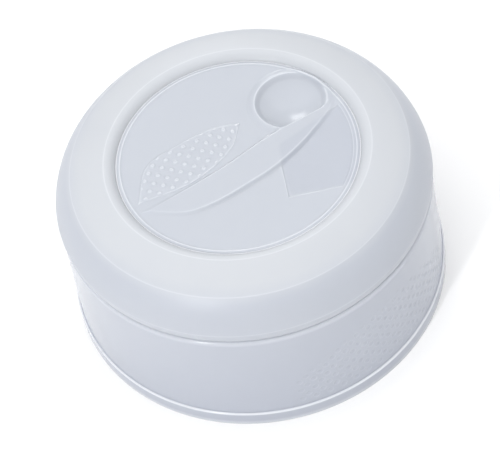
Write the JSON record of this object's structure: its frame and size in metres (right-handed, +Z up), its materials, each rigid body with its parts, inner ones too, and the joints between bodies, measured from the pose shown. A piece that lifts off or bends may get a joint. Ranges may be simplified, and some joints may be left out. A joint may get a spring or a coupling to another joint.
{
  "type": "saliva ejector line cap",
  "caption": "Round two-tier translucent twist cap with a flared skirt, a rounded lid and a recessed dial with a thumb scoop and a swept grip bar.",
  "frame": {"origin": "centre of the bottom lip's face, on the cap's axis", "axes": "+Z up along the cap's axis, out through the dial; the thumb scoop lies towards +X and +Y"},
  "size_m": [0.07, 0.07, 0.0352],
  "materials": {
    "collar_plastic": "satin, milky translucent polypropylene",
    "lid_plastic": "satin, milky translucent polypropylene",
    "dial_plastic": "satin, milky translucent polypropylene",
    "seal_silicone": "matte translucent silicone"
  },
  "bodies": {
    "collar": {"collar": "collar_plastic"},
    "gasket": {"lid_gasket": "seal_silicone"},
    "lid": {"lid_shell": "lid_plastic"},
    "dial": {"vent_dial": "dial_plastic", "dial_seal": "seal_silicone"}
  },
  "joints": [
    {"name": "lid_rise", "type": "slide", "parent": "collar", "child": "gasket", "axis": [0, 0, 1], "range_m": [0, 0.003]},
    {"name": "lid_turn", "type": "hinge", "parent": "gasket", "child": "lid", "pos_m": [0, 0, 0.0243], "axis": [0, 0, 1], "range_deg": [0, 90]},
    {"name": "dial_turn", "type": "hinge", "parent": "lid", "child": "dial", "pos_m": [0, 0, 0.034], "axis": [0, 0, 1], "range_deg": [0, 45]}
  ],
  "couplings": [
    {"joint": "lid_rise", "follows": "lid_turn", "m_per_rad": 0.001909}
  ]
}
